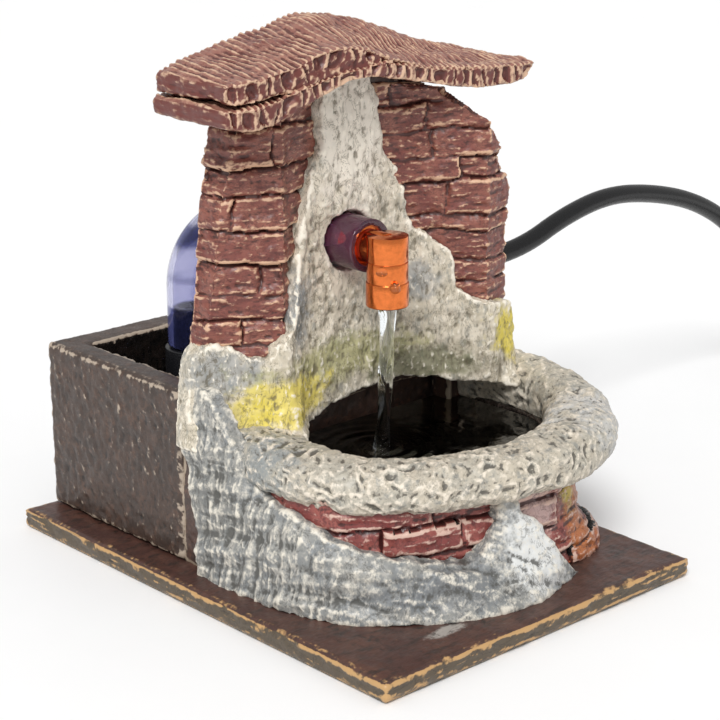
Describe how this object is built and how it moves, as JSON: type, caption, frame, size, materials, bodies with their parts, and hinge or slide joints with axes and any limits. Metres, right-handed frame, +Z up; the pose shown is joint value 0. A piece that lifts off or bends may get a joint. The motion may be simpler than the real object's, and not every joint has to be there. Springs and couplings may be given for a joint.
{
  "type": "tabletop water fountain",
  "caption": "Small brick-wall water fountain with tiled roof, turned metal spout, round basin, rear water tub, submersible pump, mains lead and plug.",
  "frame": {"origin": "centre of the base plate's footprint, on the surface the fountain stands on", "axes": "+Z up, -Y towards the front basin, +X to the right seen from the front; the tap hole is on x = 0"},
  "size_m": [0.4936, 0.169, 0.167],
  "materials": {
    "brown_resin": "dark brown painted cast resin, dry-brushed tan on its edges",
    "brick_resin": "maroon brick paint on cast resin",
    "tile_resin": "terracotta tile paint on cast resin, cream dry-brush",
    "plaster_resin": "grey and cream plaster paint on cast resin",
    "orange_anodised": "satin orange anodised aluminium",
    "clear_hose": "translucent blue-violet soft PVC",
    "black_pump": "black moulded plastic",
    "core_iron": "laminated transformer iron",
    "copper_wire": "enamelled copper winding",
    "bobbin_plastic": "natural nylon",
    "potting": "cast epoxy",
    "ceramic": "ground alumina",
    "ferrite": "sintered ferrite",
    "rubber": "soft black rubber",
    "impeller_plastic": "white acetal",
    "sponge": "open-cell foam",
    "lead_pvc": "black PVC",
    "pin_metal": "nickel-plated brass",
    "felt": "thin black felt",
    "tie_fabric": "hook-and-loop strap"
  },
  "bodies": {
    "root": {"base_plate": "brown_resin", "base_felt": "felt", "reservoir_tub": "brown_resin", "wall_core": "brick_resin", "plaster_facing": "plaster_resin", "left_brick_pillar": "brick_resin", "right_brick_pillar": "brick_resin", "roof_lower_tiles": "tile_resin", "roof_upper_tiles": "tile_resin", "basin_bowl": "brick_resin", "basin_rim": "plaster_resin", "plaster_apron": "plaster_resin", "delivery_hose": "clear_hose", "pump_housing": "black_pump", "stator_core": "core_iron", "coil_bobbin": "bobbin_plastic", "stator_winding": "copper_wire", "potting_resin": "potting", "rotor_shaft": "ceramic", "shaft_bushings": "rubber", "chamber_cover": "black_pump", "intake_cover": "black_pump", "filter_sponge": "sponge", "suction_cups": "rubber", "lead_gland": "rubber", "mains_lead": "lead_pvc", "lead_coil": "lead_pvc", "coil_tie": "tie_fabric", "lead_tail": "lead_pvc", "plug_sleeve": "lead_pvc", "plug_body": "lead_pvc", "plug_pins": "pin_metal"},
    "spout": {"spout_body": "orange_anodised", "spout_nozzle": "orange_anodised"},
    "rotor": {"impeller": "impeller_plastic", "rotor_magnet": "ferrite"},
    "dial": {"flow_dial": "black_pump"}
  },
  "joints": [
    {"name": "spout_swivel", "type": "hinge", "parent": "root", "child": "spout", "pos_m": [0, -0.018, 0.1], "axis": [0, 1, 0], "range_deg": [-20, 20]},
    {"name": "impeller_spin", "type": "hinge", "parent": "root", "child": "rotor", "pos_m": [-0.005, 0.056, 0.032], "axis": [1, 0, 0], "continuous": true},
    {"name": "flow_dial_turn", "type": "hinge", "parent": "root", "child": "dial", "pos_m": [-0.0345, 0.056, 0.032], "axis": [1, 0, 0], "range_deg": [0, 30]}
  ]
}
